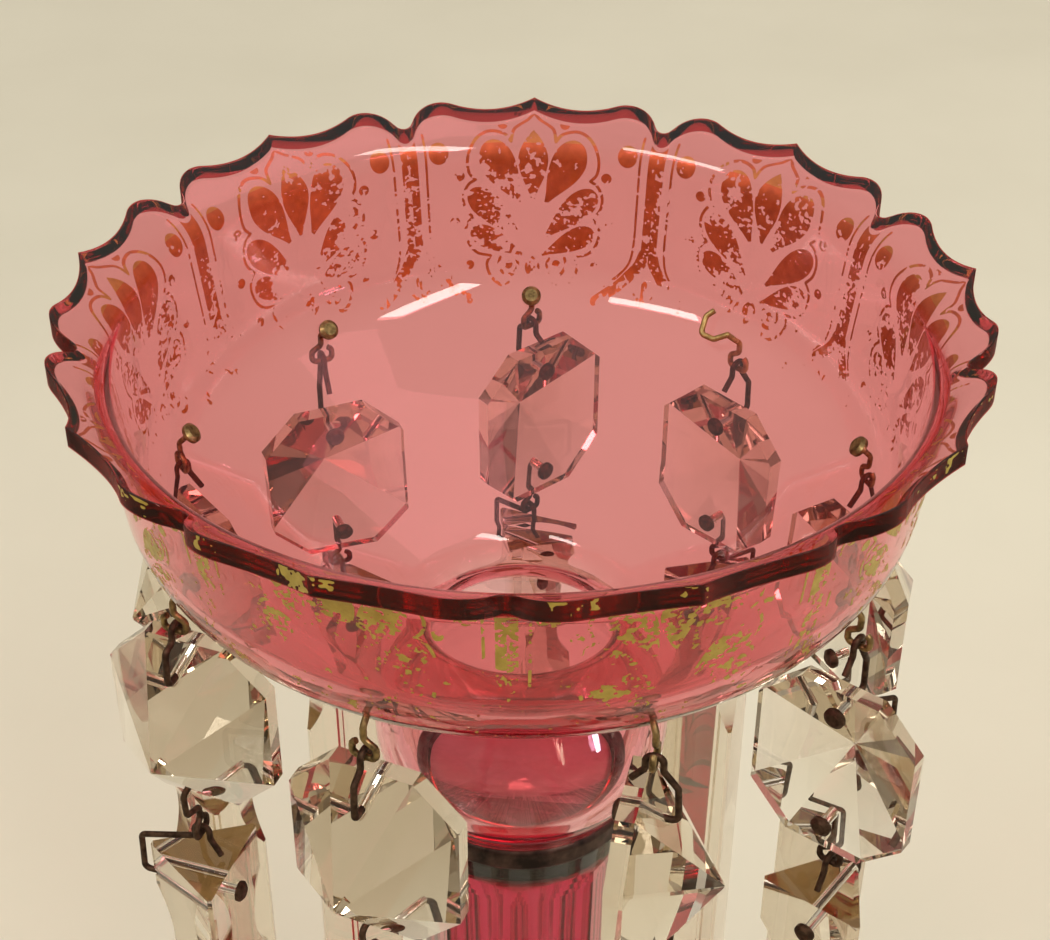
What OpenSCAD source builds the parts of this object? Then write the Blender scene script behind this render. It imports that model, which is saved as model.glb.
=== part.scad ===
// Mantel lustre: a scalloped glass bowl on a panelled glass stem, hung with nine cut glass drops.
// Sizes are in millimetres. The origin is the middle of the foot's resting face and +Z is up.
// +Y points to the back scallop. Drop 1 hangs below it and the others follow clockwise from above.

/* [Overall] */
// Height from the table to the scallop tips
overall_h = 310; // [270:1:350]
// Radius of the rim at the scallop tips
rim_r = 75; // [70:0.5:82]
// Wall of the blown bowl
glass_t = 3.2; // [2.6:0.1:3.8]

/* [Scalloped rim] */
// How far the sweep on either side of a tip dips in, for a 75 mm rim
sweep_dip = 2.2; // [1.6:0.1:2.3]
// Radius of that hollow sweep, for a 75 mm rim
sweep_r = 18.5; // [16:0.5:19.5]
// Radius of the round shoulder beside a notch, for a 75 mm rim
shoulder_r = 7; // [6:0.25:7.5]
// How far the shoulders stay inside the tip circle, for a 75 mm rim
shoulder_in = 0.3; // [0.2:0.05:0.6]
// Depth of the notch between two scallops, for a 75 mm rim
notch_d = 4.65; // [3.5:0.05:5.5]
// Rise of the everted lip above the level, in degrees
lip_rise = 30; // [22:1:36]
// How far the lip stands out of the bowl wall
lip_out = 6.1; // [4.5:0.1:8]
// Rounding under the lip
lip_round = 5; // [3:0.5:7]

/* [Bowl and knop] */
// How far the corner of the bowl's shoulder lies inside the rim
corner_in = 9.7; // [9:0.1:12]
// Corner of the shoulder below the rim
corner_drop = 33.8; // [30:0.2:38]
// Rounding of the shoulder
corner_round = 19; // [15:0.5:21]
// Bend of the belly inside the shoulder corner
belly_in = 20.3; // [18:0.1:23]
// Bend of the belly below the shoulder corner
belly_drop = 17; // [15:0.5:19]
// Rounding of the belly
belly_round = 60; // [40:1:70]
// Radius of the neck corner
neck_r = 17.5; // [16.5:0.1:19]
// Neck below the belly bend
neck_drop = 13.7; // [12:0.1:16]
// Rounding of the neck
neck_round = 5; // [4:0.25:6]
// Radius of the knop's corner
knop_r = 29.8; // [27:0.1:32]
// Widest part of the knop below the neck
knop_drop = 23.5; // [21:0.5:27]
// Rounding of the knop
knop_round = 20; // [14:0.5:21]
// Radius of the knop's seat on the collar
seat_r = 22; // [21.5:0.1:23]
// Seat below the widest part of the knop
seat_drop = 14; // [12:0.5:17]

/* [Collar and stem] */
// Height of the metal collar
collar_h = 5; // [4.4:0.1:6.5]
// Metal thickness of the collar
collar_t = 2.8; // [2:0.1:3.2]
// Thickness of the plaster bed between the two glass spigots
plaster_t = 1.2; // [0.8:0.1:2]
// Radius at the top of the stem, below the collar
stem_top_r = 21.4; // [20.5:0.1:22.5]
// Radius of the stem just below its top flare
stem_r = 20.2; // [19.5:0.1:21]
// Height of the top flare
flare_h = 8; // [6:0.5:12]
// Rounding below the top flare
flare_round = 10; // [6:0.5:14]
// Radius of the stem at its waist
waist_r = 17.2; // [16:0.1:18.5]
// Height of the corner where the stem sweeps out into the foot
waist_h = 44; // [40:0.5:50]
// Rounding of that sweep
waist_round = 30; // [24:1:34]
// Share of the stem radius that the flat panels lie at
panel_share = 0.91; // [0.89:0.005:0.92]
// Number of flat panels cut on the stem
panels = 8; // [6:1:10]
// Wall of the stem and foot
stem_t = 4.5; // [3.8:0.1:5.2]

/* [Foot] */
// Radius of the foot
foot_r = 62; // [57:0.5:66]
// Height of the foot's edge
foot_edge = 6; // [4:0.5:8]
// Shoulder of the foot inside its edge
dome_in = 12; // [10:0.5:14]
// Height of the foot's shoulder above its edge
dome_h = 17; // [15:0.5:19]
// Rounding of the foot's shoulder
dome_round = 20; // [14:0.5:24]
// Rounding of the foot's edge
edge_round = 3; // [1:0.5:4]

/* [Wire] */
// Diameter of the iron wire of the pins and hooks
wire_d = 1.1; // [0.9:0.05:1.2]
// Diameter of a pin head
head_d = 3.7; // [3.2:0.1:4.2]
// Thickness of a pin head
head_t = 1.2; // [1:0.1:1.5]
// Inside radius of the bends in the wires
bend_in = 0.55; // [0.45:0.05:0.65]
// Clearance between a hook and the rung that it hangs on
hook_gap = 0.3; // [0.25:0.05:0.35]
// Play between a wire and the side of its hole in the glass
hole_play = 0.4; // [0.35:0.05:0.6]
// Space kept under a pin head
head_gap = 0.3; // [0.25:0.05:0.4]

/* [Drops] */
// Width of a button
button_w = 29; // [27:0.5:31]
// Height of a button
button_h = 34.5; // [32:0.5:37]
// Cut corner of a button, measured along its sides
button_corner = 7.5; // [6:0.25:9]
// Thickness of a button at its edge
button_edge = 3; // [2.4:0.1:3.6]
// Depth of a button from its flat back to its point
button_deep = 16.5; // [14:0.5:18]
// Distance from a button's end to the middle of its hole
button_hole_in = 5; // [4.5:0.1:6]
// Width of a prism across its flat back
prism_w = 20; // [18:0.5:21]
// Depth of a prism from its back to its ridge
prism_deep = 16.5; // [15:0.5:17.5]
// Length of a prism
prism_len = 150; // [130:1:156]
// Width of the small flats on the three ridges
ridge_flat = 0.8; // [0.5:0.1:1.2]
// Distance from the top of a prism to the middle of its hole
prism_hole_in = 7; // [6:0.25:8]
// Middle of the hollow neck below the top of a prism
hollow_drop = 20; // [19:0.5:22]
// Radius of the hollow neck
hollow_r = 16; // [14:0.5:18]
// Depth of the hollow neck in each ridge
hollow_d = 4.2; // [3:0.1:4.6]
// Length of the pointed end
point_len = 22; // [18:0.5:26]

/* [Hidden] */
drop_count = 9;
pitch = 360 / drop_count;
// The way each drop has turned on its hook, in degrees clockwise from facing straight out
turned = [-40, 6, -20, -84, -58, 2, -40, -50, 16];
// The way each prism has turned below its button
linked = [0, 0, 0, 0, 0, 0, 86, 0, 0];
// The hooks are bent by hand: how much longer each is than the usual one
longer = [-2.5, 0.5, 2, 1, 0, -1.5, -2.5, 4, 4];
// The drop whose bowl pin was replaced by a plain bent wire
mended = 2;
// A hole that was drilled and left empty, clockwise from the back, and its slope
spare_a = 68.5;
spare_slope = 34.5;
seat_gap = 0.1;
arc_n = 9;
$fn = 64;

// Round bends of the wires, measured to the middle of the wire
bend = bend_in + wire_d / 2;
// A hook bends round its rung with the stated clearance
hook_r = wire_d + hook_gap;
hook_flat = 0.1;
hook_bend = hook_r - hook_flat;
hole_d = wire_d + 2 * hole_play;
// A bend is a hair thicker than the straight runs, which reach a little way into it
swell = 0.012;
lap = 0.07;
// How far a shank runs up into its head
shank_in = 0.3;

// Corner where the lip's underside meets the bowl wall
lip_z = overall_h - lip_out * tan(lip_rise) - glass_t / cos(lip_rise);
lip_over = 3;
corner_pt = [rim_r - corner_in, overall_h - corner_drop];
belly_pt = corner_pt - [belly_in, belly_drop];
neck_pt = [neck_r, belly_pt[1] - neck_drop];
knop_pt = [knop_r, neck_pt[1] - knop_drop];
seat_z = knop_pt[1] - seat_drop;
// The outside of the bowl as straight runs with a rounding at each corner
bowl_path = [
    [rim_r + lip_over, lip_z + (lip_out + lip_over) * tan(lip_rise), 0],
    [rim_r - lip_out, lip_z, lip_round],
    [corner_pt[0], corner_pt[1], corner_round],
    [belly_pt[0], belly_pt[1], belly_round],
    [neck_pt[0], neck_pt[1], neck_round],
    [knop_pt[0], knop_pt[1], knop_round],
    [seat_r, seat_z, 0],
    [0, seat_z, 0]
];

// Both spigots stand inside the collar and meet in the plaster bed
collar_in_r = seat_r - collar_t;
spigot_r = collar_in_r - seat_gap;
stem_z = seat_z - collar_h - 2 * seat_gap;
spigot_h = (seat_z - stem_z - plaster_t) / 2;
cap_t = 8;
cap_round = 6;
// The collar stands a little proud of the glass and has rounded edges
collar_over = 0.4;
collar_round = 1.2;
stem_path = [
    [stem_top_r, stem_z, 0],
    [stem_r, stem_z - flare_h, flare_round],
    [waist_r, waist_h, waist_round],
    [foot_r - dome_in, foot_edge + dome_h, dome_round],
    [foot_r, foot_edge, edge_round],
    [foot_r, 0, 0]
];

// The pins pass through the shoulder of the bowl, square to the glass
pin_slope = 42;
pin_reach = 1.5;
pin_drop = 5.8;
corner_mid = arc_mid(corner_xy(bowl_path, 1), corner_pt, belly_pt, corner_round);
pin_dir = [cos(pin_slope), -sin(pin_slope)];
pin_in = corner_mid + pin_dir * (corner_round - glass_t - head_gap);
pin_knee = corner_mid + pin_dir * (corner_round + pin_reach);
hang_r = pin_knee[0];
hang_z = pin_knee[1] - pin_drop;

// Heights along a drop, measured down from the upper rung
button_top = 6;
button_z = button_top + button_h / 2;
upper_hole = button_top + button_hole_in;
lower_hole = button_top + button_h - button_hole_in;
link_drop = 12.6;
lower_rung = lower_hole + link_drop;
prism_top = 6;
prism_hole = prism_top + prism_hole_in;
// Straight length of a hook below its rung, on both sides
hook_leg = 1.4;
// A leg leans in from this height above the glass
leg_clear = 1.5;
leg_lean = 0.4;

// A button hangs with its centre of mass below the rung, its flat back turned to the bowl
button_rise = button_deep - button_edge;
button_back = (button_edge * button_edge / 2 + button_rise / 3 * (button_edge + button_rise / 4))
    / (button_edge + button_rise / 3);
// The head of a pin sits on the flat back, and its leg clears the facet at the hole
hole_off = button_h / 2 - button_hole_in;
hole_front = button_edge - button_back + button_rise * button_hole_in / (button_h / 2);
head_x = button_back + head_gap;
leg_gap = 1.7;
leg_x = hole_front + leg_gap;
// The free end of a hook spreads out and stops half way down to the button
tail_out = 2;
// Below the button the pin turns in under its edge to the middle
under_gap = 0.2;
under_run = 1.4;
// A prism hangs with its centre of area below the rung
prism_back = prism_deep / 3;
prism_front = prism_deep - prism_back;

function unit(v) = v / norm(v);
function cross2(a, b) = a[0] * b[1] - a[1] * b[0];
function corner_xy(path, i) = [path[i][0], path[i][1]];
function polar(r, a) = [r * cos(a), r * sin(a)];

// Half the angle between the two runs that meet at b
function half_angle(a, b, c) = acos(min(1, max(-1, unit(a - b) * unit(c - b)))) / 2;
// Middle of the arc that rounds the corner b
function arc_mid(a, b, c, r) = b + unit(unit(a - b) + unit(c - b)) * r / sin(half_angle(a, b, c));
// Length of each run that the rounding of corner b takes up
function arc_run(a, b, c, r) = r / tan(half_angle(a, b, c));
// Points along the arc that rounds the corner b
function arc_points(a, b, c, r) =
    let (m = arc_mid(a, b, c, r),
         s = b + unit(a - b) * arc_run(a, b, c, r) - m,
         turn = 180 - 2 * half_angle(a, b, c),
         way = cross2(b - a, c - b) > 0 ? 1 : -1,
         from = atan2(s[1], s[0]))
    [for (i = [0:arc_n]) m + polar(r, from + way * turn * i / arc_n)];
// A path of straight runs with its corners rounded
function rounded(path) = [
    for (i = [0:len(path) - 1])
        each path[i][2] == 0 ? [corner_xy(path, i)] :
            arc_points(corner_xy(path, i - 1), corner_xy(path, i), corner_xy(path, i + 1), path[i][2])
];
// The same path moved by t to its right hand side, roundings included
function side_of(a, b) = let (u = unit(b - a)) [u[1], -u[0]];
function moved(path, t) = [
    for (i = [0:len(path) - 1])
        let (p = corner_xy(path, i),
             first = i == 0,
             last = i == len(path) - 1,
             n1 = first ? side_of(p, corner_xy(path, i + 1)) : side_of(corner_xy(path, i - 1), p),
             n2 = last ? n1 : side_of(p, corner_xy(path, i + 1)),
             q = p + (n1 + n2) * t / (1 + n1 * n2),
             grow = cross2(n1, n2) > 0 ? t : -t)
        [q[0], q[1], path[i][2] == 0 ? 0 : path[i][2] + grow]
];
function backwards(list) = [for (i = [len(list) - 1:-1:0]) list[i]];

// Half a scallop as pairs of arc length from the tip and depth inside the tip circle.
// A hollow sweep, a round shoulder and a hollow notch follow each other without a kink.
rim_base = 75;
rim_k = rim_r / rim_base;
half_pitch = rim_base * PI / drop_count;
sweep_s = sqrt(2 * sweep_dip * sweep_r - sweep_dip * sweep_dip);
sweep_mid = [sweep_s, sweep_dip - sweep_r];
join_d = shoulder_in + shoulder_r - sweep_mid[1];
join_s = sqrt(pow(sweep_r + shoulder_r, 2) - join_d * join_d);
shoulder_mid = sweep_mid + [join_s, join_d];
notch_s = half_pitch - shoulder_mid[0];
notch_in = notch_d - shoulder_in;
notch_r = (notch_s * notch_s / notch_in + notch_in) / 2 - shoulder_r;
notch_mid = [half_pitch, notch_d - notch_r];
tip_a = atan2(-sweep_mid[1], -sweep_s);
join_a = atan2(join_d, join_s);
notch_a = atan2(notch_mid[1] - shoulder_mid[1], notch_s);
function arc_of(m, r, a, b, n) = [for (i = [0:n]) m + polar(r, a + (b - a) * i / n)];
function rest_of(list) = [for (i = [1:len(list) - 1]) list[i]];
half_scallop = concat(
    arc_of(sweep_mid, sweep_r, tip_a, join_a, 6),
    rest_of(arc_of(shoulder_mid, shoulder_r, join_a + 180, notch_a + 360, 6)),
    rest_of(arc_of(notch_mid, notch_r, notch_a + 180, 90, 4))
);
// One point of the rim, side being 1 or -1 for the two halves of a scallop
function rim_point(k, side, p) =
    polar(rim_k * (rim_base - p[1]), 90 + k * pitch + side * p[0] / rim_base * 180 / PI);
rim_outline = [
    for (k = [0:drop_count - 1])
        each concat([for (p = rest_of(backwards(half_scallop))) rim_point(k, -1, p)],
                    [for (p = rest_of(half_scallop)) rim_point(k, 1, p)])
];

// Puts a piece on the radius of drop k, with +X pointing outwards
module on_radius(k) {
    rotate([0, 0, 90 - pitch * (k - 1)])
        children();
}

// Puts a piece in the frame of drop k: origin on the upper rung, turned with the drop
module on_drop(k, down = 0) {
    on_radius(k)
        translate([hang_r, 0, hang_z - down])
            rotate([0, 0, -turned[k - 1]])
                children();
}

// The same for what hangs below the button hook, which may be longer than the usual one
module on_button(k, down) {
    on_drop(k, longer[k - 1] + down)
        children();
}

// The same for the prism and its hook, which turn with the eye of the button pin
module on_pendant(k, down = 0) {
    on_button(k, lower_rung + down)
        rotate([0, 0, -linked[k - 1]])
            children();
}

// Round wire along a flat path, with +Y of the path pointing up and a bend radius at each corner
module bent_wire(p, r) {
    last = len(p) - 1;
    run = [for (i = [0:last]) i == 0 || i == last ? 0 : arc_run(p[i - 1], p[i], p[i + 1], r[i])];
    rotate([90, 0, 0]) {
        for (i = [0:last - 1]) {
            u = unit(p[i + 1] - p[i]);
            len_i = norm(p[i + 1] - p[i]) - run[i] - run[i + 1];
            from = i == 0 ? 0 : lap;
            to = i == last - 1 ? 0 : lap;
            translate(p[i] + u * (run[i] - from))
                rotate([0, 0, atan2(u[1], u[0])])
                    rotate([0, 90, 0])
                        cylinder(d = wire_d, h = len_i + from + to);
        }
        for (i = [1:last - 1]) {
            m = arc_mid(p[i - 1], p[i], p[i + 1], r[i]);
            left = cross2(p[i] - p[i - 1], p[i + 1] - p[i]) > 0;
            s = p[i] + unit(p[left ? i - 1 : i + 1] - p[i]) * run[i] - m;
            translate(m)
                rotate([0, 0, atan2(s[1], s[0])])
                    rotate_extrude(angle = 180 - 2 * half_angle(p[i - 1], p[i], p[i + 1]))
                        translate([r[i], 0])
                            circle(d = wire_d + 2 * swell);
        }
    }
}

// Flat pin head with a coned top, standing on the plane x = 0 and rising along +X
head_flat = 0.55;
head_crown = 0.65;
module pin_head() {
    flat = head_t * head_flat;
    rotate([0, 90, 0]) {
        cylinder(d = head_d, h = flat);
        translate([0, 0, flat])
            cylinder(d1 = head_d, d2 = head_d * head_crown, h = head_t - flat);
    }
}

// Open eye across the drop, with its straight rung on the local Y axis
eye_neck = 4.6;
eye_top = 3.5;
eye_half = 2;
eye_shoulder = 2.2;
eye_lip = [0.7, 0.5];
// The stem of the eye is hammered to the wire above it over this height
neck_gap = 0.1;
neck_top = eye_neck + neck_gap;
module eye() {
    translate([0, 0, eye_neck - 2 * neck_gap])
        cylinder(d = wire_d + 4 * swell, h = 5 * neck_gap);
    rotate([0, 0, 90])
        bent_wire(
            [[0, eye_neck], [0, eye_top], [eye_half, eye_shoulder], [eye_half, 0], [-eye_half, 0],
             [-eye_half, eye_shoulder], [-eye_half, eye_shoulder] + eye_lip],
            [0, 1, 1, 1, 1, 1, 0]);
}

// Hole through the shoulder of the bowl, square to the glass
module drilled(slope) {
    translate([corner_mid[0], 0, corner_mid[1]])
        rotate([0, 90 + slope, 0])
            cylinder(d = hole_d, h = corner_round + glass_t);
}

module bowl() {
    color([0.80, 0.36, 0.42])
        difference() {
            intersection() {
                rotate_extrude()
                    polygon(concat(
                        rounded([for (i = [0:len(bowl_path) - 2]) bowl_path[i]]),
                        [[spigot_r, seat_z], [spigot_r, seat_z - spigot_h], [0, seat_z - spigot_h]],
                        backwards(rounded(moved(bowl_path, glass_t)))));
                linear_extrude(height = 2 * overall_h)
                    polygon(rim_outline);
            }
            for (k = [1:drop_count])
                on_radius(k)
                    drilled(pin_slope);
            rotate([0, 0, 90 - spare_a])
                drilled(spare_slope);
        }
}

module collar() {
    color([0.30, 0.19, 0.12])
        rotate_extrude()
            polygon(concat(
                [[collar_in_r, stem_z + seat_gap]],
                rounded([
                    [collar_in_r, stem_z + seat_gap, 0],
                    [seat_r + collar_over, stem_z + seat_gap, collar_round],
                    [seat_r + collar_over, seat_z - seat_gap, collar_round],
                    [collar_in_r, seat_z - seat_gap, 0]])));
}

module plaster_bed() {
    color([0.85, 0.82, 0.74])
        translate([0, 0, stem_z + spigot_h])
            cylinder(r = spigot_r, h = plaster_t);
}

// Flat cut on the stem that runs out in an arch at both ends
panel_end = 0.6;
cut_out = 14;
cut_fall = 5.6;
module panel_cut() {
    top_z = stem_z - flare_h;
    top_a = stem_r * panel_share;
    low_z = waist_h + waist_round * panel_end;
    low_a = (waist_r + (stem_r - waist_r) * (low_z - waist_h) / (top_z - waist_h)) * panel_share;
    rotate([90, 0, 0])
        linear_extrude(height = 4 * stem_r, center = true)
            polygon([[top_a, top_z], [low_a, low_z], [low_a + cut_out, low_z - cut_fall],
                     [top_a + cut_out, top_z + cut_out]]);
}

module stem_foot() {
    inner = moved(stem_path, stem_t);
    color([0.72, 0.16, 0.26])
        difference() {
            rotate_extrude()
                polygon(concat(
                    [[0, stem_z + spigot_h], [spigot_r, stem_z + spigot_h], [spigot_r, stem_z]],
                    rounded(stem_path),
                    backwards(rounded(concat(
                        [[0, stem_z - cap_t, 0], [inner[1][0], stem_z - cap_t, cap_round]],
                        [for (i = [2:len(inner) - 1]) inner[i]])))));
            for (i = [0:panels - 1])
                rotate([0, 0, (i + 0.5) * 360 / panels])
                    panel_cut();
        }
}

// Wire through the bowl: head inside, knee outside, eye for the drop below
module bowl_pins() {
    color([0.50, 0.36, 0.18])
        for (k = [1:drop_count])
            if (k != mended) {
                on_radius(k) {
                    bent_wire(
                        [pin_in - pin_dir * shank_in, pin_knee, [hang_r, hang_z + neck_top]],
                        [0, bend, 0]);
                    translate([pin_in[0], 0, pin_in[1]])
                        rotate([0, 180 + pin_slope, 0])
                            pin_head();
                }
                on_drop(k)
                    eye();
            }
}

// The replacement has no head: its inner end curls up sideways beside the glass
curl_in = 2;
curl = [[0, 0], [2.2, -1.8], [5.2, -1.8], [5.9, 1.6], [4.8, 3.2]];
module hook_wire() {
    start = pin_in - pin_dir * curl_in;
    color([0.62, 0.46, 0.20]) {
        on_radius(mended) {
            bent_wire([start, pin_knee, [hang_r, hang_z + neck_top]], [0, bend, 0]);
            translate([start[0], 0, start[1]]) {
                sphere(d = wire_d + 4 * swell);
                rotate([0, pin_slope, 0])
                    rotate([0, 0, 90])
                        bent_wire(curl, [0, bend, bend, bend, 0]);
            }
        }
        on_drop(mended)
            eye();
    }
}

// Wire through a button's upper hole: head on the inner face, leg up the outer face, hook on the eye
module button_hook(k) {
    hole = upper_hole + longer[k - 1];
    top = button_top + longer[k - 1];
    color([0.33, 0.22, 0.15])
        on_drop(k) {
            bent_wire(
                [[-head_x - shank_in, -hole], [leg_x, -hole], [leg_x - leg_lean, leg_clear - top],
                 [hook_r, -hook_leg], [hook_r, hook_r], [-hook_r, hook_r], [-hook_r, -hook_leg],
                 [-hook_r - tail_out, -(hook_leg + top) / 2]],
                [0, bend, bend, bend, hook_bend, hook_bend, bend, 0]);
            translate([-head_x, 0, -hole])
                rotate([0, 0, 180])
                    pin_head();
        }
}

// Two opposite sides of a button: its section without the flat back, run right across
module button_sides(half) {
    edge = button_edge - button_back;
    linear_extrude(height = 2 * button_h, center = true)
        polygon([[-button_deep, half], [edge, half], [edge + button_rise, 0],
                 [edge, -half], [-button_deep, -half]]);
}

// Cut glass button: flat behind, and eight facets rise from the outline to a small table in front
module button(k) {
    table = 0.2;
    half_w = button_w / 2;
    half_h = button_h / 2;
    half_c = (half_w + half_h - button_corner) / sqrt(2);
    color([0.88, 0.90, 0.90])
        on_button(k, button_z)
            difference() {
                intersection() {
                    translate([-button_back, -button_h, -button_h])
                        cube([button_deep - table, 2 * button_h, 2 * button_h]);
                    button_sides(half_w);
                    rotate([90, 0, 0])
                        button_sides(half_h);
                    rotate([45, 0, 0])
                        button_sides(half_c);
                    rotate([-45, 0, 0])
                        button_sides(half_c);
                }
                for (s = [-1, 1])
                    translate([0, 0, s * hole_off])
                        rotate([0, 90, 0])
                            cylinder(d = hole_d, h = 2 * button_deep, center = true);
            }
}

// Wire through a button's lower hole: head on the inner face, leg down the outer face, eye for the prism
module button_pin(k) {
    color([0.33, 0.22, 0.15])
        on_button(k, lower_hole) {
            bent_wire(
                [[-head_x - shank_in, 0], [leg_x, 0], [leg_x - leg_lean, -button_hole_in - under_gap],
                 [0, -button_hole_in - under_gap - under_run], [0, neck_top - link_drop]],
                [0, bend, bend, bend, 0]);
            translate([-head_x, 0, 0])
                rotate([0, 0, 180])
                    pin_head();
            translate([0, 0, -link_drop])
                rotate([0, 0, -linked[k - 1]])
                    eye();
        }
}

// Wire through a prism's hole: head on the flat back, leg up past the ridge, hook on the button's eye
ridge_gap = 1.4;
ridge_lean = 0.3;
stub = [1.8, 3.4];
module prism_hook(k) {
    back_x = prism_back + head_gap;
    out_x = prism_front + ridge_gap;
    color([0.33, 0.22, 0.15])
        on_pendant(k) {
            bent_wire(
                [[-back_x - shank_in, -prism_hole], [out_x, -prism_hole],
                 [out_x - ridge_lean, leg_clear - prism_top], [hook_r, -hook_leg], [hook_r, hook_r],
                 [-hook_r, hook_r], [-hook_r, -hook_leg], [-hook_r, -hook_leg] - stub],
                [0, bend, bend, bend, hook_bend, hook_bend, bend, 0]);
            translate([-back_x, 0, -prism_hole])
                rotate([0, 0, 180])
                    pin_head();
        }
}

// Section of a prism with its centre of area at the origin and a small flat on each ridge
ridges = [[prism_front, 0], [-prism_back, prism_w / 2], [-prism_back, -prism_w / 2]];
prism_section = [
    for (i = [0:2])
        each [ridges[i] + unit(ridges[(i + 2) % 3] - ridges[i]) * ridge_flat,
              ridges[i] + unit(ridges[(i + 1) % 3] - ridges[i]) * ridge_flat]
];
// Direction of each face and its distance from the middle
face_a = [for (i = [0:2]) let (n = side_of(ridges[i], ridges[(i + 1) % 3])) atan2(n[1], n[0])];
face_d = [for (i = [0:2]) side_of(ridges[i], ridges[(i + 1) % 3]) * ridges[i]];

// Glass ground off one face to bring the prism to a point, above the plane z = 0
module point_cut(dist) {
    spare = 5;
    blunt = 0.06;
    rotate([90, 0, 0])
        linear_extrude(height = 4 * prism_w, center = true)
            polygon([[dist * blunt, 0], [dist, point_len], [dist + spare, point_len + spare],
                     [dist + spare, -spare], [dist * blunt, -spare]]);
}

// Cut glass prism: three faces, three ridges hollowed to a neck, flat top and pointed end
module prism(k) {
    color([0.90, 0.91, 0.90])
        on_pendant(k, prism_top)
            difference() {
                translate([0, 0, -prism_len])
                    linear_extrude(height = prism_len)
                        polygon(prism_section);
                for (i = [0:2]) {
                    rotate([0, 0, atan2(ridges[i][1], ridges[i][0])])
                        translate([norm(ridges[i]) + hollow_r - hollow_d, 0, -hollow_drop])
                            rotate([90, 0, 0])
                                cylinder(r = hollow_r, h = 2 * prism_w, center = true);
                    translate([0, 0, -prism_len])
                        rotate([0, 0, face_a[i]])
                            point_cut(face_d[i]);
                }
                translate([0, 0, -prism_hole_in])
                    rotate([0, 90, 0])
                        cylinder(d = hole_d, h = 4 * prism_deep, center = true);
            }
}

bowl();
collar();
plaster_bed();
stem_foot();
bowl_pins();
hook_wire();
for (k = [1:drop_count]) {
    button_hook(k);
    button(k);
    button_pin(k);
    prism_hook(k);
    prism(k);
}
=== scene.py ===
import math
import bmesh
import bpy
import numpy as np
from mathutils import Matrix, Vector


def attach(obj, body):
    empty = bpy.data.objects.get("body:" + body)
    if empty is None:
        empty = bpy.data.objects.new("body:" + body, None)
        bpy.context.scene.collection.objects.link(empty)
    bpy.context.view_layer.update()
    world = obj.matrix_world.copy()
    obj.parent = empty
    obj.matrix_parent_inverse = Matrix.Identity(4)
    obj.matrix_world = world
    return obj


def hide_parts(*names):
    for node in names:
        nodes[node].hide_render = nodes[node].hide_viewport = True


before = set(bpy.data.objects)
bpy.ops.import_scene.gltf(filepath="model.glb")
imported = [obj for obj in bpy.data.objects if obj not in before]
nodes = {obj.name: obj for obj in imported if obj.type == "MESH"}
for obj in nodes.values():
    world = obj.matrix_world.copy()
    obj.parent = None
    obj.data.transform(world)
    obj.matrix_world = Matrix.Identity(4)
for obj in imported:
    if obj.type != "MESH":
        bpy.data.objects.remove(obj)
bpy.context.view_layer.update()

# Camera: in front of the lustre and above the rim, looking down into the bowl.
# Its place is given from the middle of the rim, 310 mm above the table.
RIM_Z = 0.310
BACK_OFF, ABOVE_RIM, AROUND = 0.2709, 0.1624, math.radians(1.67)
PITCH_DOWN, YAW, ROLL = math.radians(35.83), math.radians(0.11), math.radians(0.24)
SENSOR_WIDE, LENS, NEAREST = 36.0, 67.85, 0.01
scene = bpy.context.scene
scene.view_settings.view_transform = "Standard"
camera_data = bpy.data.cameras.new("camera")
camera_data.sensor_width = SENSOR_WIDE
camera_data.lens = LENS
camera_data.clip_start = NEAREST
camera = bpy.data.objects.new("camera", camera_data)
scene.collection.objects.link(camera)
forward = math.cos(PITCH_DOWN)
ahead = Vector((math.sin(YAW) * forward, math.cos(YAW) * forward, -math.sin(PITCH_DOWN)))
level = ahead.cross(Vector((0, 0, 1))).normalized()
upright = level.cross(ahead)
across = level * math.cos(ROLL) + upright * math.sin(ROLL)
upward = upright * math.cos(ROLL) - level * math.sin(ROLL)
stand_point = Matrix.Rotation(AROUND, 4, "Z") @ Matrix.Translation((0, -BACK_OFF, RIM_Z + ABOVE_RIM))
camera.matrix_world = stand_point @ Matrix((across, upward, -ahead)).transposed().to_4x4()
scene.camera = camera

# Table top: a plain cream cloth that keeps the lustre's shadow, with a soft mottle in its weave.
# It is one large flat sheet, greyed towards the front by a painted shade.
CLOTH_HALF = 6.0
CREAM = [(0.3, (0.67, 0.635, 0.525)), (0.7, (0.75, 0.715, 0.60))]
# Painted shade: greyer cloth colours that stand in for shade on the cloth in front of the lustre
PAINTED_SHADE_GREYS = [(0.3, (0.43, 0.375, 0.275)), (0.7, (0.48, 0.42, 0.31))]
FULL_SHADE_Y, CREAM_Y = -0.28, -0.02


def material(name):
    """A new material, its node tree and its shader."""
    m = bpy.data.materials.new(name)
    m.use_nodes = True
    tree = m.node_tree
    return m, tree, tree.nodes["Principled BSDF"]


def mottle(tree, scale, detail, rough=0.55):
    """Cloudy noise fixed to the object."""
    noise = tree.nodes.new("ShaderNodeTexNoise")
    coords = tree.nodes.new("ShaderNodeTexCoord")
    tree.links.new(coords.outputs["Object"], noise.inputs["Vector"])
    noise.inputs["Scale"].default_value = scale
    noise.inputs["Detail"].default_value = detail
    noise.inputs["Roughness"].default_value = rough
    return noise.outputs["Fac"]


def shades(tree, source, stops):
    """Colours picked along a value from 0 to 1."""
    ramp = tree.nodes.new("ShaderNodeValToRGB")
    tree.links.new(source, ramp.inputs["Fac"])
    elements = ramp.color_ramp.elements
    while len(elements) < len(stops):
        elements.new(0.5)
    for element, (at, colour) in zip(elements, stops):
        element.position = at
        element.color = (*colour, 1.0)
    return ramp.outputs["Color"]


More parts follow.
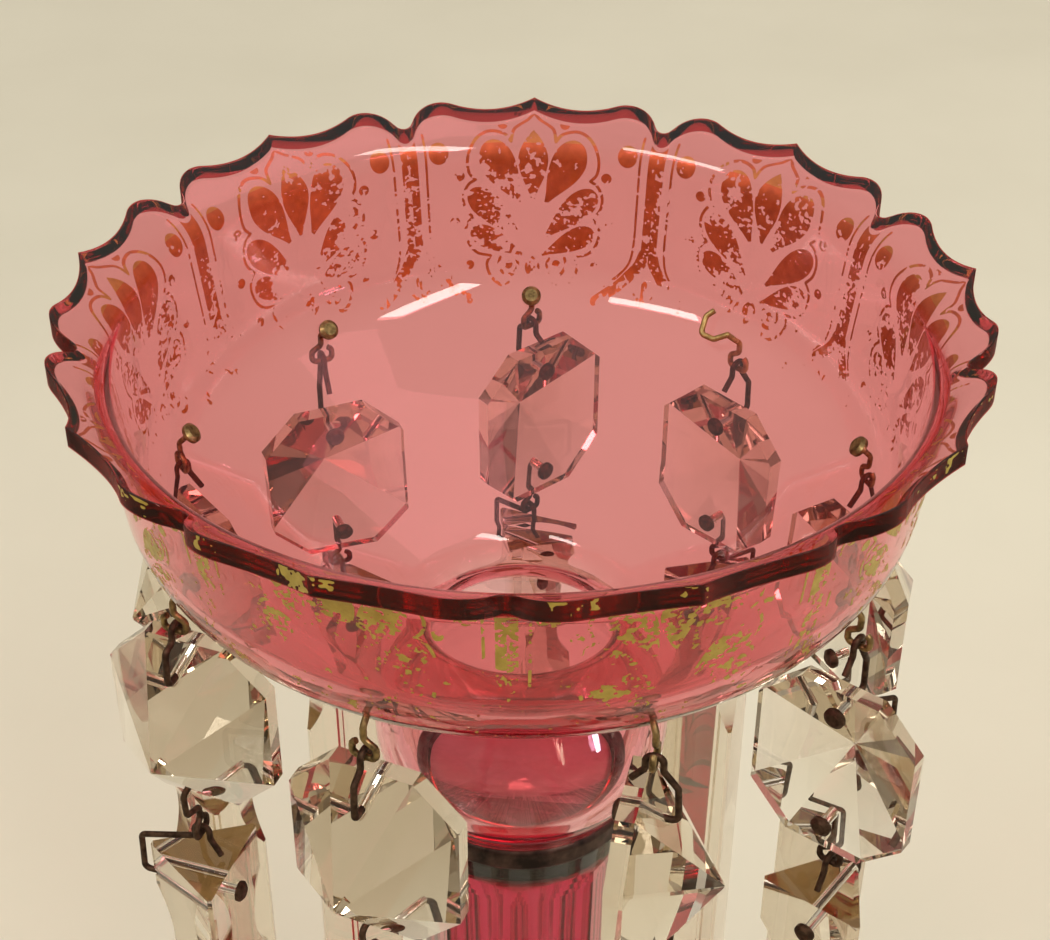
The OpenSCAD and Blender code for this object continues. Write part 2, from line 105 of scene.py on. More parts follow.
def across_piece(tree, axis, low, high):
    """A value that rises from 0 to 1 between two places along an axis."""
    place = tree.nodes.new("ShaderNodeTexCoord")
    parts = tree.nodes.new("ShaderNodeSeparateXYZ")
    tree.links.new(place.outputs["Object"], parts.inputs["Vector"])
    rise = tree.nodes.new("ShaderNodeMapRange")
    rise.inputs["From Min"].default_value = low
    rise.inputs["From Max"].default_value = high
    tree.links.new(parts.outputs[axis], rise.inputs["Value"])
    return rise.outputs["Result"]


cloth, tree, bsdf = material("cream_cloth_painted_shade")
weave = mottle(tree, scale=3.0, detail=5.0)
cream = shades(tree, weave, CREAM)
# Painted shade: a greyer copy of the cloth's colours, blended in towards the front
painted_shade = shades(tree, weave, PAINTED_SHADE_GREYS)
blend = tree.nodes.new("ShaderNodeMixRGB")
tree.links.new(across_piece(tree, "Y", FULL_SHADE_Y, CREAM_Y), blend.inputs["Fac"])
tree.links.new(painted_shade, blend.inputs["Color1"])
tree.links.new(cream, blend.inputs["Color2"])
tree.links.new(blend.outputs["Color"], bsdf.inputs["Base Color"])
bsdf.inputs["Roughness"].default_value = 0.95
bsdf.inputs["Specular IOR Level"].default_value = 0.1
sheet = bmesh.new()
bmesh.ops.create_grid(sheet, x_segments=1, y_segments=1, size=CLOTH_HALF)
floor_mesh = bpy.data.meshes.new("table_top")
sheet.to_mesh(floor_mesh)
sheet.free()
floor_mesh.materials.append(cloth)
floor = bpy.data.objects.new("table_top", floor_mesh)
scene.collection.objects.link(floor)

# Light: a large soft lamp overhead and two long ceiling lamps, which draw the bright streaks
# along the shoulder and the lip of the glass. A small cool window stands low at the right,
# and the walls of the room are darker than its ceiling.
WARM, COOL = (1.0, 0.95, 0.87), (0.82, 0.80, 1.0)
BOWL_MIDDLE = Vector((0, 0, 0.28))
WALLS = [(0.0, (0.34, 0.28, 0.21)), (0.3, (0.40, 0.34, 0.26)),
         (0.6, (0.75, 0.69, 0.58)), (0.9, (1.0, 0.96, 0.88))]
ROOM_STRENGTH = 0.72


def lamp(name, start, end, wide, power, colour, mirrored=True):
    """A long lamp between two points, turned to the bowl."""
    start, end = Vector(start), Vector(end)
    place = (start + end) / 2
    along = (end - start).normalized()
    from_bowl = place - BOWL_MIDDLE
    facing = (from_bowl - along * from_bowl.dot(along)).normalized()
    light = bpy.data.lights.new(name, "AREA")
    light.shape = "RECTANGLE"
    light.size = (end - start).length
    light.size_y = wide
    light.energy = power
    light.color = colour
    holder = bpy.data.objects.new(name, light)
    scene.collection.objects.link(holder)
    turn = Matrix((along, facing.cross(along), facing)).transposed().to_4x4()
    holder.matrix_world = Matrix.Translation(place) @ turn
    holder.visible_glossy = mirrored


lamp("overhead", (0.1, 0.3, 1.75), (1.3, 0.3, 1.75),
     wide=1.2, power=11.0, colour=WARM, mirrored=False)
lamp("ceiling_right", (1.0, -0.56, 1.92), (0.55, -1.59, 1.37),
     wide=0.25, power=12.0, colour=WARM)
lamp("ceiling_left", (-0.72, -1.16, 1.74), (-1.40, -0.72, 1.51),
     wide=0.25, power=8.5, colour=WARM)
lamp("cool_window", (2.28, -1.07, 0.38), (2.14, -1.34, 0.38),
     wide=0.07, power=3.5, colour=COOL)
room = bpy.data.worlds.new("room")
scene.world = room
room.use_nodes = True
sky = room.node_tree
direction = sky.nodes.new("ShaderNodeTexCoord")
parts = sky.nodes.new("ShaderNodeSeparateXYZ")
sky.links.new(direction.outputs["Generated"], parts.inputs["Vector"])
walls = shades(sky, parts.outputs["Z"], WALLS)
sky.links.new(walls, sky.nodes["Background"].inputs["Color"])
sky.nodes["Background"].inputs["Strength"].default_value = ROOM_STRENGTH
# Light is passed on inside cut glass many times before it leaves
scene.cycles.max_bounces = 24
scene.cycles.glossy_bounces = 16
scene.cycles.transmission_bounces = 24

# Stem and foot: one blown piece of crimson glass with eight flat panels cut on the stem.
# It is hollow below, and its spigot stands in the collar.
BLOWN_IOR = 1.5
SMEAR_SCALE, SMEAR_FROM, SMEAR_FULL = 60.0, 0.45, 0.75
RIPPLE_DEPTH = 0.001


def relief(tree, bsdf, source, strength, depth):
    """Small bumps on the surface."""
    bump = tree.nodes.new("ShaderNodeBump")
    bump.inputs["Strength"].default_value = strength
    bump.inputs["Distance"].default_value = depth
    tree.links.new(source, bump.inputs["Height"])
    tree.links.new(bump.outputs["Normal"], bsdf.inputs["Normal"])


def glass(name, ior, tint, absorb, density, shade, ripple=0.0, ripple_scale=30.0, dull=0.06):
    """Glass coloured by a tint on each wall and by its depth, a little dull where it is smeared.

    Lamps shine through it with the given shade.
    """
    m, tree, bsdf = material(name)
    bsdf.inputs["Base Color"].default_value = (*tint, 1)
    bsdf.inputs["Transmission Weight"].default_value = 1.0
    bsdf.inputs["IOR"].default_value = ior
    smear = tree.nodes.new("ShaderNodeMapRange")
    smear.inputs["From Min"].default_value = SMEAR_FROM
    smear.inputs["From Max"].default_value = SMEAR_FULL
    smear.inputs["To Max"].default_value = dull
    tree.links.new(mottle(tree, SMEAR_SCALE, detail=6.0), smear.inputs["Value"])
    tree.links.new(smear.outputs["Result"], bsdf.inputs["Roughness"])
    if ripple:
        relief(tree, bsdf, mottle(tree, ripple_scale, detail=2.0), ripple, RIPPLE_DEPTH)
    path = tree.nodes.new("ShaderNodeLightPath")
    clear = tree.nodes.new("ShaderNodeBsdfTransparent")
    clear.inputs["Color"].default_value = (*shade, 1)
    mix = tree.nodes.new("ShaderNodeMixShader")
    tree.links.new(path.outputs["Is Shadow Ray"], mix.inputs["Fac"])
    tree.links.new(bsdf.outputs["BSDF"], mix.inputs[1])
    tree.links.new(clear.outputs["BSDF"], mix.inputs[2])
    out = tree.nodes["Material Output"]
    tree.links.new(mix.outputs["Shader"], out.inputs["Surface"])
    depth = tree.nodes.new("ShaderNodeVolumeAbsorption")
    depth.inputs["Color"].default_value = (*absorb, 1)
    depth.inputs["Density"].default_value = density
    tree.links.new(depth.outputs["Volume"], out.inputs["Volume"])
    return m


def finish(names, m):
    """Puts one material on pieces of the part."""
    for name in names:
        nodes[name].data.materials.clear()
        nodes[name].data.materials.append(m)


crimson = glass("crimson_glass", BLOWN_IOR, tint=(0.94, 0.55, 0.66), absorb=(0.85, 0.03, 0.39),
                density=380.0, shade=(0.92, 0.45, 0.52), ripple=0.03, ripple_scale=20.0)
finish(["stem_foot"], crimson)

# Plaster bed: the two glass spigots are set in plaster inside the collar.
# It is pale and dry, and shows only through the bottom of the knop.
PLASTER = [(0.3, (0.90, 0.87, 0.80)), (0.7, (0.97, 0.95, 0.90))]
plaster, tree, bsdf = material("plaster")
grain = mottle(tree, scale=700.0, detail=5.0)
tree.links.new(shades(tree, grain, PLASTER), bsdf.inputs["Base Color"])
bsdf.inputs["Roughness"].default_value = 0.9
finish(["plaster_bed"], plaster)

# Collar: a plain spun band of darkened brass round the joint of knop and stem.
# Its edges are rounded and it grips the two spigots through the plaster.
DULLER = 0.2


def metal(name, dark, light, rough, grain):
    """Metal with darker and duller patches, a little uneven."""
    m, tree, bsdf = material(name)
    patch = mottle(tree, grain, detail=6.0)
    tarnish = shades(tree, patch, [(0.35, dark), (0.65, light)])
    tree.links.new(tarnish, bsdf.inputs["Base Color"])
    polish = shades(tree, patch, [(0.3, (rough + DULLER,) * 3), (0.7, (rough,) * 3)])
    tree.links.new(polish, bsdf.inputs["Roughness"])
    bsdf.inputs["Metallic"].default_value = 0.85
    relief(tree, bsdf, patch, strength=0.15, depth=0.0004)
    return m


collar_metal = metal("collar_metal", dark=(0.02, 0.012, 0.010), light=(0.10, 0.06, 0.05),
                     rough=0.35, grain=300.0)
finish(["collar"], collar_metal)

# Bowl with its knop: one blown piece of pink glass. The everted lip is ground to nine scallops,
# each an ogee tip between two round shoulders. The hollow knop ends in a solid spigot.
MM_PER_M = 1000
TOP, RIM, WALL = 310.0, 75.0, 3.2
SCALLOPS = 9
PITCH = 360.0 / SCALLOPS
LIP_RISE, LIP_OUT, LIP_OVER, LIP_ROUND = math.radians(30), 6.1, 3.0, 5
CORNER_IN, CORNER_DROP, CORNER_ROUND = 9.7, 33.8, 19
BELLY_IN, BELLY_DROP, BELLY_ROUND = 30.0, 50.8, 60
NECK_R, NECK_DROP, NECK_ROUND = 17.5, 64.5, 5
KNOP_R, KNOP_DROP, KNOP_ROUND = 29.8, 88, 20
SEAT_R, SEAT_DROP = 22.0, 102
SPIGOT_R, SPIGOT_H = 19.1, 2.0
EDGE_H = WALL / math.cos(LIP_RISE)
seat_z = TOP - SEAT_DROP
lip_z = TOP - LIP_OUT * math.tan(LIP_RISE) - EDGE_H
# Corners of the outside from the lip down to the seat: radius, height and rounding
bowl_path = [
    (RIM + LIP_OVER, lip_z + (LIP_OUT + LIP_OVER) * math.tan(LIP_RISE), 0),
    (RIM - LIP_OUT, lip_z, LIP_ROUND),
    (RIM - CORNER_IN, TOP - CORNER_DROP, CORNER_ROUND),
    (RIM - BELLY_IN, TOP - BELLY_DROP, BELLY_ROUND),
    (NECK_R, TOP - NECK_DROP, NECK_ROUND),
    (KNOP_R, TOP - KNOP_DROP, KNOP_ROUND),
    (SEAT_R, seat_z, 0),
    (0.0, seat_z, 0),
]


def unit(v):
    """The direction of a vector."""
    return v / np.linalg.norm(v)


def rounded(path, steps=14):
    """Points of a path of straight runs with its corners rounded."""
    out = []
    for i, (x, y, r) in enumerate(path):
        b = np.array((x, y), float)
        if r == 0:
            out.append(b)
            continue
        u = unit(np.array(path[i - 1][:2]) - b)
        w = unit(np.array(path[i + 1][:2]) - b)
        half = math.acos(float(np.clip(u @ w, -1, 1))) / 2
        m = b + unit(u + w) * r / math.sin(half)
        s = b + u * r / math.tan(half) - m
        way = 1 if u[0] * w[1] - u[1] * w[0] < 0 else -1
        a0 = math.atan2(s[1], s[0])
        for k in range(steps + 1):
            a = a0 + way * (math.pi - 2 * half) * k / steps
            out.append(m + r * np.array((math.cos(a), math.sin(a))))
    return out


def side_of(a, b):
    """The direction to the right hand side of a run from a to b."""
    u = unit(np.array(b[:2], float) - np.array(a[:2], float))
    return np.array((u[1], -u[0]))


def moved(path, t):
    """The path moved by t to its right hand side, roundings included."""
    out = []
    for i, (x, y, r) in enumerate(path):
        n1 = side_of(path[i - 1], path[i]) if i else side_of(path[0], path[1])
        n2 = side_of(path[i], path[i + 1]) if i < len(path) - 1 else n1
        q = np.array((x, y), float) + (n1 + n2) * t / (1 + n1 @ n2)
        grow = t if n1[0] * n2[1] - n1[1] * n2[0] > 0 else -t
        out.append((q[0], q[1], r + grow if r else 0))
    return out


# Each half scallop is three tangent arcs: a hollow sweep from the tip, a round shoulder and the notch
SWEEP_DIP, SWEEP_R, SHOULDER_R, SHOULDER_IN, NOTCH_D = 2.2, 18.5, 7.0, 0.3, 4.65
half_pitch = RIM * math.radians(PITCH / 2)
sweep_s = math.sqrt(2 * SWEEP_DIP * SWEEP_R - SWEEP_DIP ** 2)
join_d = SHOULDER_IN + SHOULDER_R - SWEEP_DIP + SWEEP_R
join_s = math.sqrt((SWEEP_R + SHOULDER_R) ** 2 - join_d ** 2)
shoulder_s, shoulder_d = sweep_s + join_s, SHOULDER_IN + SHOULDER_R
notch_s, notch_in = half_pitch - shoulder_s, NOTCH_D - SHOULDER_IN
notch_r = (notch_s ** 2 / notch_in + notch_in) / 2 - SHOULDER_R
join_1 = sweep_s + SWEEP_R * join_s / (SWEEP_R + SHOULDER_R)
join_2 = shoulder_s + SHOULDER_R * notch_s / (SHOULDER_R + notch_r)


def rim_radius(deg):
    """Radius of the scalloped rim at azimuths measured from a tip."""
    s = np.abs(np.radians((np.asarray(deg) + PITCH / 2) % PITCH - PITCH / 2)) * RIM
    sweep = SWEEP_DIP - SWEEP_R + np.sqrt(np.maximum(0, SWEEP_R ** 2 - (s - sweep_s) ** 2))
    shoulder = shoulder_d - np.sqrt(np.maximum(0, SHOULDER_R ** 2 - (s - shoulder_s) ** 2))
    notch = NOTCH_D - notch_r + np.sqrt(np.maximum(0, notch_r ** 2 - (s - half_pitch) ** 2))
    return RIM - np.where(s < join_1, sweep, np.where(s < join_2, shoulder, notch))


def mesh_piece(name, verts, faces, m):
    """A smooth piece of the scene with one material."""
    me = bpy.data.meshes.new(name)
    me.from_pydata([tuple(v) for v in verts], [], faces)
    me.validate()
    me.polygons.foreach_set("use_smooth", [True] * len(me.polygons))
    me.materials.append(m)
    piece = bpy.data.objects.new(name, me)
    scene.collection.objects.link(piece)
    return piece


def lip_top(r):
    """Height of the lip's upper side."""
    return TOP + (r - RIM) * math.tan(LIP_RISE)


def lip_low(r):
    """Height of the lip's lower side."""
    return lip_top(r) - EDGE_H


# The lip starts at this radius, in the top band of the bowl. Its rings lie at these shares of the
# way in from the edge, and the last stays clear of the wall.
LIP_FROM, LIP_BAND, LIP_GAP = 69.6, 20, 0.3
LIP_RINGS = (0.0, 0.03, 0.1, 0.3, 0.6)
EDGE_ROUND, EDGE_RISE, EDGE_STEPS = 0.45, 0.26, 4


def off_lip(points):
    """The points of a bowl wall that lie off the scalloped lip."""
    return [p for p in points if p[0] <= LIP_FROM or p[1] < TOP - LIP_BAND]


def edge_profile(rim):
    """The ground edge of the rim, from its upper to its lower side."""
    r0 = rim - EDGE_ROUND
    upper, lower = [], []
    for k in range(1, EDGE_STEPS + 1):
        a = math.pi / 2 * k / EDGE_STEPS
        r = r0 + EDGE_ROUND * math.sin(a)
        rise, cut = EDGE_RISE * math.sin(a), EDGE_ROUND * (1 - math.cos(a))
        upper.append(np.array((r, lip_top(r0) + rise - cut)))
        lower.append(np.array((r, lip_low(r0) + rise + cut)))
    return upper + lower[::-1]


PER_SCALLOP = 84
columns = SCALLOPS * PER_SCALLOP
outside = rounded(bowl_path[:-1])
inside = rounded(moved(bowl_path, WALL))
spigot = [np.array((SPIGOT_R, seat_z)), np.array((SPIGOT_R, seat_z - SPIGOT_H)),
          np.array((0.0, seat_z - SPIGOT_H))]


def column_deg(c):
    """Azimuth of a column of the mesh, clockwise from the back tip."""
    return c * PITCH / PER_SCALLOP


from_middle, to_middle = off_lip(inside)[::-1], off_lip(outside) + spigot
sections = []
for c in range(columns):
    rim = float(rim_radius(column_deg(c)))
    lip_r = rim - EDGE_ROUND
    reach = [lip_r - (lip_r - LIP_FROM - LIP_GAP) * t for t in LIP_RINGS]
    over = [np.array((r, lip_top(r))) for r in reversed(reach)]
    under = [np.array((r, lip_low(r))) for r in reach]
    sections.append(from_middle + over + edge_profile(rim) + under + to_middle)
verts, faces = [], []
for c in range(columns):
    a = math.radians(90 - column_deg(c))
    for r, z in sections[c][1:-1]:
        verts.append((r * math.cos(a) / MM_PER_M, r * math.sin(a) / MM_PER_M, z / MM_PER_M))
rows = len(sections[0]) - 2
middle_in, middle_low = len(verts), len(verts) + 1
verts.append((0, 0, sections[0][0][1] / MM_PER_M))
verts.append((0, 0, sections[0][-1][1] / MM_PER_M))
for c in range(columns):
    here, there = c * rows, (c + 1) % columns * rows
    for i in range(rows - 1):
        faces.append((here + i, there + i, there + i + 1, here + i + 1))
    faces.append((middle_in, there, here))
    faces.append((middle_low, here + rows - 1, there + rows - 1))
# The knop is paler than the bowl
BOWL_PINK, KNOP_PINK = (0.88, 0.385, 0.425), (0.97, 0.70, 0.745)
PALER_DROP, PALER_BLEND = 67, 0.004
pink = glass("pink_glass", BLOWN_IOR, tint=BOWL_PINK, absorb=(0.94, 0.10, 0.28),
             density=50.0, shade=(0.985, 0.90, 0.91), ripple=0.04)
tree = pink.node_tree
paler_z = (TOP - PALER_DROP) / MM_PER_M
knop_to_bowl = across_piece(tree, "Z", paler_z - PALER_BLEND, paler_z + PALER_BLEND)
pinks = shades(tree, knop_to_bowl, [(0.0, KNOP_PINK), (1.0, BOWL_PINK)])
tree.links.new(pinks, tree.nodes["Principled BSDF"].inputs["Base Color"])
bowl = mesh_piece("bowl_glass", verts, faces, pink)
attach(bowl, "stand")
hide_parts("bowl")

# Gilding: nine palmette panels painted on the glass with liquid gold and fired on.
# The gold is a skin on the outside of the bowl, rubbed away at the front and low down.
NOISE_CELLS = 64


def value_noise(x, y, cell, seed):
    """Smooth noise from 0 to 1 with features about one cell wide."""
    grid = np.random.default_rng(seed).random((NOISE_CELLS, NOISE_CELLS))
    i, j = np.floor(x / cell).astype(int), np.floor(y / cell).astype(int)
    u, v = x / cell - i, y / cell - j
    u, v = u * u * (3 - 2 * u), v * v * (3 - 2 * v)
    i0, i1 = i % NOISE_CELLS, (i + 1) % NOISE_CELLS
    j0, j1 = j % NOISE_CELLS, (j + 1) % NOISE_CELLS
    near = grid[i0, j0] * (1 - u) + grid[i1, j0] * u
    far = grid[i0, j1] * (1 - u) + grid[i1, j1] * u
    return near * (1 - v) + far * v


def patches(x, y, seed, layers):
    """Layers of noise, each with its share, its stretch sideways and the size of its cells."""
    return sum(share * value_noise(x * stretch, y, cell, seed + k)
               for k, (share, stretch, cell) in enumerate(layers))


def stroke(x, y, points, wide, wide_end):
    """Distance to a brush line through points, less half its width."""
    best = np.full(x.shape, np.inf)
    last = len(points) - 1
    for k in range(last):
        (ax, ay), (bx, by) = points[k], points[k + 1]
        dx, dy = bx - ax, by - ay
        t = np.clip(((x - ax) * dx + (y - ay) * dy) / (dx * dx + dy * dy), 0, 1)
        half = (wide + (wide_end - wide) * (k + t) / last) / 2
        best = np.minimum(best, np.hypot(x - ax - t * dx, y - ay - t * dy) - half)
    return best


def curve(points, n=6):
    """More points along a smooth line through the given ones."""
    p = [np.array(q, float) for q in points]
    p = [2 * p[0] - p[1]] + p + [2 * p[-1] - p[-2]]
    out = []
    for i in range(1, len(p) - 2):
        a, b, c, d = p[i - 1:i + 3]
        slope, bend, twist = c - a, 2 * a - 5 * b + 4 * c - d, 3 * b - a - 3 * c + d
        for t in np.arange(n) / n:
            out.append((2 * b + slope * t + bend * t * t + twist * t ** 3) / 2)
    return out + [p[-2]]


STALK, STALK_SWELL, POINTED = 0.12, 1.3, 1.7


def petal(x, y, base, end, width, widest, pointed):
    """Distance to a drop-shaped leaf from its thin base to its broad end."""
    length = math.hypot(end[0] - base[0], end[1] - base[1])
    ux, uy = (end[0] - base[0]) / length, (end[1] - base[1]) / length
    along = ((x - base[0]) * ux + (y - base[1]) * uy) / length
    aside = np.abs((y - base[1]) * ux - (x - base[0]) * uy)
    low = np.clip(along / widest, 0, 1)
    high = np.clip((along - widest) / (1 - widest), 0, 1)
    swell = STALK + (1 - STALK) * np.sin(low * math.pi / 2) ** STALK_SWELL
    tip = 1 - high ** POINTED if pointed else np.sqrt(1 - high * high)
    half = width / 2 * np.where(along < widest, swell, tip)
    return np.maximum(aside - half, np.maximum(-along, along - 1) * length)


# The drawing of half a panel, in mm across from its middle and below the rim
PANEL_HALF = 23.2
# Leaves: base, end, width, where they are widest, and whether they are pointed
LEAVES = [
    ((0, 17.6), (0, 4.7), 5.6, 0.62, True),
    ((2.5, 18.2), (8.6, 6.6), 6.4, 0.68, False),
    ((2.4, 25.2), (12.0, 15.4), 5.4, 0.68, False),
    ((1.9, 29.0), (12.0, 23.4), 4.4, 0.72, False),
    ((0.0, 33.6), (0.0, 29.2), 3.0, 0.5, True),
]
# A fine line round the leaves
OUTLINE_WIDE = 0.57
OUTLINE = [
    [(0, 1.0), (1.0, 2.5), (2.4, 3.6), (3.6, 4.7), (4.1, 6.7)],
    [(4.1, 6.7), (5.4, 5.3), (8.1, 4.8), (10.6, 6.2), (12.2, 9.0), (12.1, 11.8), (10.9, 13.4)],
    [(10.9, 13.4), (12.3, 14.3), (13.3, 16.5), (13.0, 19.0), (11.6, 20.9)],
    [(11.6, 20.9), (12.6, 22.0), (13.1, 23.8), (12.4, 26.5), (10.8, 28.3), (8.3, 29.0)],
    [(8.3, 29.0), (9.1, 30.7), (8.5, 32.5), (6.6, 33.9), (4.4, 33.7)],
    [(6.4, 29.4), (6.7, 31.0), (5.6, 32.4), (3.8, 32.3), (2.9, 31.0), (3.3, 29.7)],
]
# Dots: place and radius
DOTS = [(5.5, 3.6, 0.9), (13.9, 12.5, 1.0), (15.1, 21.6, 0.95),
        (12.5, 30.6, 0.85), (17.6, 8.1, 1.85), (4.8, 30.8, 0.85)]
# The border, across from the joint of two panels: a bar, then lines with their widths at both ends
BAR_HALF, BAR_TOP, BAR_LOW = 1.55, 4.8, 28.0
BORDER_CURVES = [
    ([(3.15, 4.6), (3.1, 16), (3.2, 26), (4.6, 30.5), (8.2, 33.4)], 0.45, 0.45),
    ([(0.7, 26.8), (2.0, 29.6), (5.0, 32.8), (10.0, 35.8)], 2.6, 1.5),
]
BORDER_TICKS = [
    ([(0, 32.4), (0, 35.4)], 1.2, 0.5),
    ([(0.3, 35.2), (2.0, 33.9)], 0.9, 0.4),
]


def palmette(s, d):
    """Distance to the gold of one panel: s across from its middle and d below the rim."""
    x = np.abs(s)
    w = PANEL_HALF - x
    gold = [petal(x, d, *leaf) for leaf in LEAVES]
    gold += [stroke(x, d, curve(line), OUTLINE_WIDE, OUTLINE_WIDE) for line in OUTLINE]
    gold += [np.hypot(x - a, d - b) - r for a, b, r in DOTS]
    gold.append(np.maximum(np.abs(w) - BAR_HALF, np.maximum(BAR_TOP - d, d - BAR_LOW)))
    gold += [stroke(w, d, curve(line), wide, wide_end) for line, wide, wide_end in BORDER_CURVES]
    gold += [stroke(w, d, line, wide, wide_end) for line, wide, wide_end in BORDER_TICKS]
    return np.minimum.reduce(gold)


# Layers of wear, and the share of the gold that is kept at depths below the rim
WEAR = [(0.34, 1, 5.0), (0.24, 1, 1.0), (0.26, 1, 0.42), (0.16, 0.3, 0.36)]
WEAR_FROM_S, WEAR_FROM_D, WEAR_EDGE = 100, 40, 3.0
KEPT_AT, KEPT = [0, 8, 16, 26, 34, 40], [0.80, 0.69, 0.60, 0.54, 0.47, 0.40]


def worn(s, d, seed, rub):
    """Positive where the gold has rubbed away: specks high up, most of it low down."""
    wear = patches(s + WEAR_FROM_S, d + WEAR_FROM_D, seed, WEAR)
    keep = np.interp(d, KEPT_AT, KEPT) - rub
    return (wear - keep) * WEAR_EDGE


def skin(name, field, place, m):
    """A sheet over the cells of a grid where the field is below zero, cut along the zero line."""
    gold = field < 0
    some = gold[:-1, :-1] | gold[1:, :-1] | gold[:-1, 1:] | gold[1:, 1:]
    index, spots, faces = {}, [], []

    def spot(key, u, v):
        if key not in index:
            index[key] = len(spots)
            spots.append((u, v))
        return index[key]

    for i, j in zip(*np.nonzero(some)):
        ring = [(i, j), (i, j + 1), (i + 1, j + 1), (i + 1, j)]
        face = []
        for a, b in zip(ring, ring[1:] + ring[:1]):
            if gold[a]:
                face.append(spot(a, *a))
            if gold[a] != gold[b]:
                t = field[a] / (field[a] - field[b])
                cut = (a[0] + (b[0] - a[0]) * t, a[1] + (b[1] - a[1]) * t)
                face.append(spot((min(a, b), max(a, b)), *cut))
        faces.append(face)
    grid = np.array(spots, float)
    piece = mesh_piece(name, place(grid[:, 0], grid[:, 1]), faces, m)
    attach(piece, "stand")


SKIN_OFF, SLOPE_STEP = 0.04, 0.2
RIM_BARE, LOW_FROM, LOW_STRETCH = 0.6, 31, 0.4
start = next(i for i, p in enumerate(outside) if p[0] < RIM)
meridian = np.array([np.array((RIM, lip_low(RIM)))] + outside[start:])
run = np.r_[0, np.cumsum(np.linalg.norm(np.diff(meridian, axis=0), axis=1))]


def run_of(d):
    """Length down the outside of the bowl at a depth of the drawing, which stretches low down."""
    return d - RIM_BARE + LOW_STRETCH * np.maximum(0, d - LOW_FROM)


def on_meridian(m):
    """Radius and height at a length down the outside of the bowl."""
    return np.interp(m, run, meridian[:, 0]), np.interp(m, run, meridian[:, 1])


def on_bowl(deg, m):
    """Points on the outside of the bowl, a hair off the glass."""
    r, z = on_meridian(m)
    r_next, z_next = on_meridian(m + SLOPE_STEP)
    r_last, z_last = on_meridian(m - SLOPE_STEP)
    dr, dz = r_next - r_last, z_next - z_last
    size = np.hypot(dr, dz)
    r, z = r - dz / size * SKIN_OFF, z + dr / size * SKIN_OFF
    a = np.radians(90 - deg)
    return np.stack((r * np.cos(a), r * np.sin(a), z), 1) / MM_PER_M


GOLD = [(0.3, (0.38, 0.27, 0.045)), (0.7, (0.56, 0.42, 0.085))]
GOLD_ROUGH = [(0.3, (0.35, 0.35, 0.35)), (0.7, (0.55, 0.55, 0.55))]
gold_leaf, tree, bsdf = material("worn_gilding")
gold_tone = shades(tree, mottle(tree, scale=500.0, detail=5.0), GOLD)
tree.links.new(gold_tone, bsdf.inputs["Base Color"])
gold_polish = shades(tree, mottle(tree, scale=900.0, detail=4.0), GOLD_ROUGH)
tree.links.new(gold_polish, bsdf.inputs["Roughness"])
bsdf.inputs["Metallic"].default_value = 0.35
# Cell of the drawing, how far down it goes, and the radius of the bowl wall that it is laid round
STEP, DEPTH, WALL_R = 0.18, 40.0, 66.5
across_s = np.arange(-PANEL_HALF, PANEL_HALF + STEP, STEP)
down_d = np.arange(0, DEPTH, STEP)
s, d = np.meshgrid(across_s, down_d)
drawing = palmette(s, d)


def on_panel(n):
    """How the cells of the drawing lie on a panel."""
    def place(i, j):
        deg = n * PITCH + np.degrees((across_s[0] + j * STEP) / WALL_R)
        return on_bowl(deg, run_of(i * STEP))
    return place


# How far each panel is rubbed, clockwise from the back
RUBBED = (0.01, 0.06, 0.07, 0.10, 0.12, 0.12, 0.10, 0.06, 0.06)
for n, rub in enumerate(RUBBED):
    deg = n * PITCH + np.degrees(s / WALL_R)
    in_glass = (RIM - rim_radius(deg)) / math.cos(LIP_RISE) + RIM_BARE - run_of(d)
    field = np.maximum.reduce([drawing, worn(s, d, 10 * n + 1, rub), in_glass])
    skin(f"gilt_panel_{n + 1}", field, on_panel(n), gold_leaf)

# Edge of the rim: ground glass, stained dark, with a little of the gold left on it.
# The stain is a film just off the glass, and the gold is a skin over it.
STAIN = [(0.3, (0.020, 0.006, 0.005)), (0.7, (0.050, 0.016, 0.010))]
STAIN_THROUGH, STAIN_THIN = (0.75, 0.13, 0.13), 0.65
STAIN_OFF, STAIN_MARGIN = 0.015, 0.1
stain, tree, bsdf = material("stained_edge")
stain_tone = shades(tree, mottle(tree, scale=250.0, detail=4.0), STAIN)
tree.links.new(stain_tone, bsdf.inputs["Base Color"])
bsdf.inputs["Roughness"].default_value = 0.4
through = tree.nodes.new("ShaderNodeBsdfTransparent")
through.inputs["Color"].default_value = (*STAIN_THROUGH, 1)
film = tree.nodes.new("ShaderNodeMixShader")
film.inputs["Fac"].default_value = STAIN_THIN
tree.links.new(bsdf.outputs["BSDF"], film.inputs[1])
tree.links.new(through.outputs["BSDF"], film.inputs[2])
tree.links.new(film.outputs["Shader"], tree.nodes["Material Output"].inputs["Surface"])
ring, strip = [], []
for c in range(columns):
    rim = float(rim_radius(column_deg(c)))
    r = rim + STAIN_OFF
    a = math.radians(90 - column_deg(c))
    for z in (lip_top(rim) - STAIN_MARGIN, lip_low(rim) + STAIN_MARGIN):
        ring.append((r * math.cos(a) / MM_PER_M, r * math.sin(a) / MM_PER_M, z / MM_PER_M))
    here, there = 2 * c, 2 * ((c + 1) % columns)
    strip.append((here, here + 1, there + 1, there))
stained = mesh_piece("edge_stain", ring, strip, stain)
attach(stained, "stand")
EDGE_MARGIN, EDGE_SEED, EDGE_KEPT = 0.2, 201, 0.285
EDGE_WEAR = [(0.5, 1, 7.0), (0.3, 1, 1.5), (0.2, 1, 0.5)]
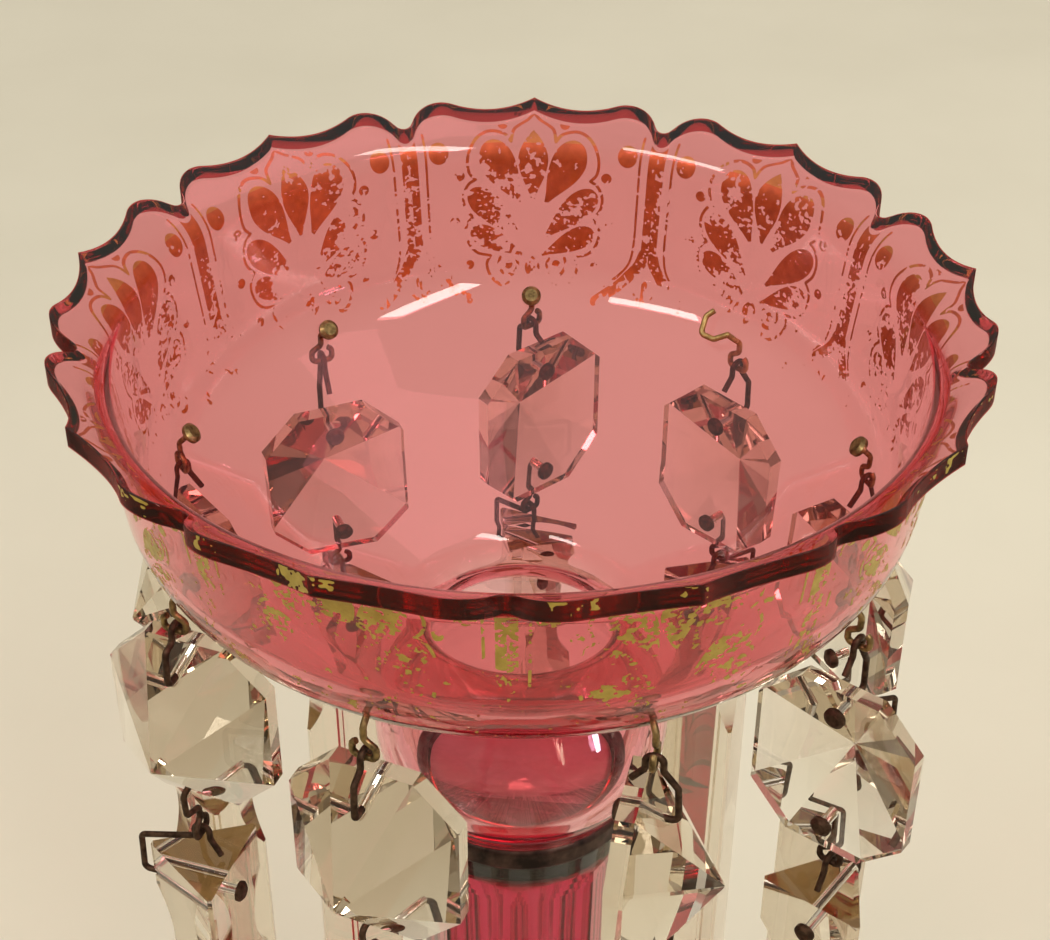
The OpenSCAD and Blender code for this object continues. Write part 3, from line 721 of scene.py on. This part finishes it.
along_s = np.arange(0, 2 * math.pi * RIM, STEP)
down_v = np.arange(EDGE_MARGIN, EDGE_H - EDGE_MARGIN, STEP)
s, v = np.meshgrid(along_s, down_v)


def on_edge(i, j):
    """How the cells of the edge's gold lie round the rim."""
    deg = np.degrees((along_s[0] + j * STEP) / RIM)
    r = rim_radius(deg)
    z = lip_top(r) - down_v[0] - i * STEP
    a = np.radians(90 - deg)
    return np.stack(((r + SKIN_OFF) * np.cos(a), (r + SKIN_OFF) * np.sin(a), z), 1) / MM_PER_M


skin("gilt_edge", patches(s, v, EDGE_SEED, EDGE_WEAR) - EDGE_KEPT, on_edge, gold_leaf)

# Bowl pins and hook wire: drawn brass wire through drilled holes in the shoulder of the bowl.
# A pin has a flat head inside and an eye outside. One pin was lost and replaced by a plain wire,
# which is bent up as a hook inside the bowl.
WIRE_GRAIN = 900.0
dark_brass = metal("dark_brass", dark=(0.10, 0.065, 0.025), light=(0.34, 0.24, 0.10),
                   rough=0.32, grain=WIRE_GRAIN)
finish(["bowl_pins"], dark_brass)
yellow_brass = metal("yellow_brass", dark=(0.30, 0.20, 0.07), light=(0.55, 0.40, 0.16),
                     rough=0.35, grain=WIRE_GRAIN)
finish(["hook_wire"], yellow_brass)

# Hooks and pins of the drops: brown iron wire, bent by hand, with a hammered head on one end.
# Each hook hangs on the eye of the pin above it.
DROPS = range(1, 10)
iron = metal("iron_wire", dark=(0.035, 0.018, 0.010), light=(0.11, 0.065, 0.04),
             rough=0.5, grain=WIRE_GRAIN)
finish([f"{piece}_{k}" for piece in ("button_hook", "button_pin", "prism_hook") for k in DROPS], iron)

# Buttons and prisms: colourless cut glass, ground to flat facets and polished, drilled for the wires.
# Nine pairs hang round the bowl, a button above and a prism below.
CUT_IOR = 1.52
crystal = glass("clear_glass", CUT_IOR, tint=(1.0, 0.995, 0.985), absorb=(0.80, 0.72, 0.58),
                density=38.0, shade=(0.62, 0.58, 0.52), dull=0.012)
finish([f"{piece}_{k}" for piece in ("button", "prism") for k in DROPS], crystal)
